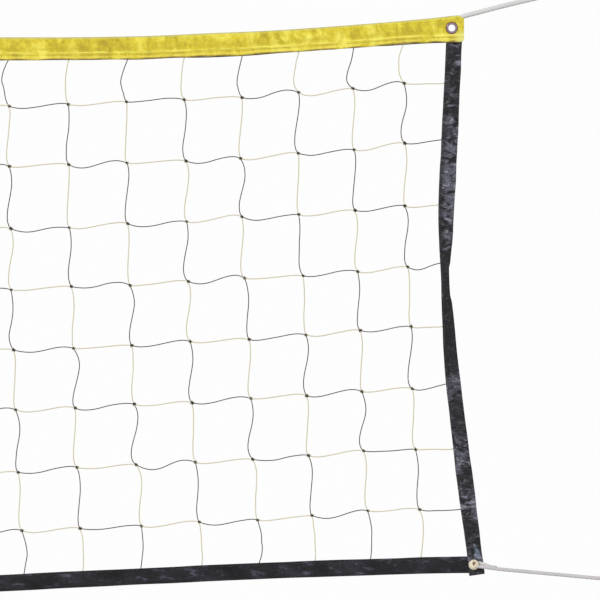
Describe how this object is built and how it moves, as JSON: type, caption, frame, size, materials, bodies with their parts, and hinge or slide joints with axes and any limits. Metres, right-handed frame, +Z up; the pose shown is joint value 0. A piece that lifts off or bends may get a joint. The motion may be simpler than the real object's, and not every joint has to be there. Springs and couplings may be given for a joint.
{
  "type": "volleyball net",
  "caption": "Volleyball net of knotted two-colour twine with a yellow top sleeve, black edge bands, corner eyelets and ropes that end in knotted eyes.",
  "frame": {"origin": "crown of the right headline eye, where a post's hook bears", "axes": "+X along the net to the right as seen from the front, front faces -Y, +Z up"},
  "size_m": [10.3427, 0.0321, 1.0373],
  "materials": {
    "twine": "twisted polyethylene twine, dark grey and pale yellow strands, knotted",
    "yellow_band": "glossy coated woven fabric, folded and sewn",
    "side_band": "glossy crinkled coated tape",
    "bottom_band": "coated tape with a soft sheen",
    "rope": "braided synthetic rope, off-white",
    "tie_rope": "braided synthetic rope, cream at the knot",
    "eyelet": "nickel-plated, slightly dulled"
  },
  "bodies": {
    "root": {"net_mesh": "twine", "top_band": "yellow_band", "bottom_band": "bottom_band", "side_band_right": "side_band", "side_band_left": "side_band", "headline_rope": "rope", "top_rope_right": "rope", "top_rope_left": "rope", "top_knot_right": "rope", "top_knot_left": "rope", "top_eye_right": "rope", "top_eye_left": "rope", "bottom_rope_right": "rope", "bottom_rope_left": "rope", "bottom_knot_right": "rope", "bottom_knot_left": "rope", "bottom_eye_right": "rope", "bottom_eye_left": "rope", "tie_knot_right": "tie_rope", "tie_knot_left": "tie_rope", "tie_loop_right": "tie_rope", "tie_loop_left": "tie_rope", "eyelet_top_right": "eyelet", "eyelet_top_left": "eyelet", "eyelet_bottom_right": "eyelet", "eyelet_bottom_left": "eyelet", "washer_top_right": "eyelet", "washer_top_left": "eyelet", "washer_bottom_right": "eyelet", "washer_bottom_left": "eyelet"}
  },
  "joints": []
}
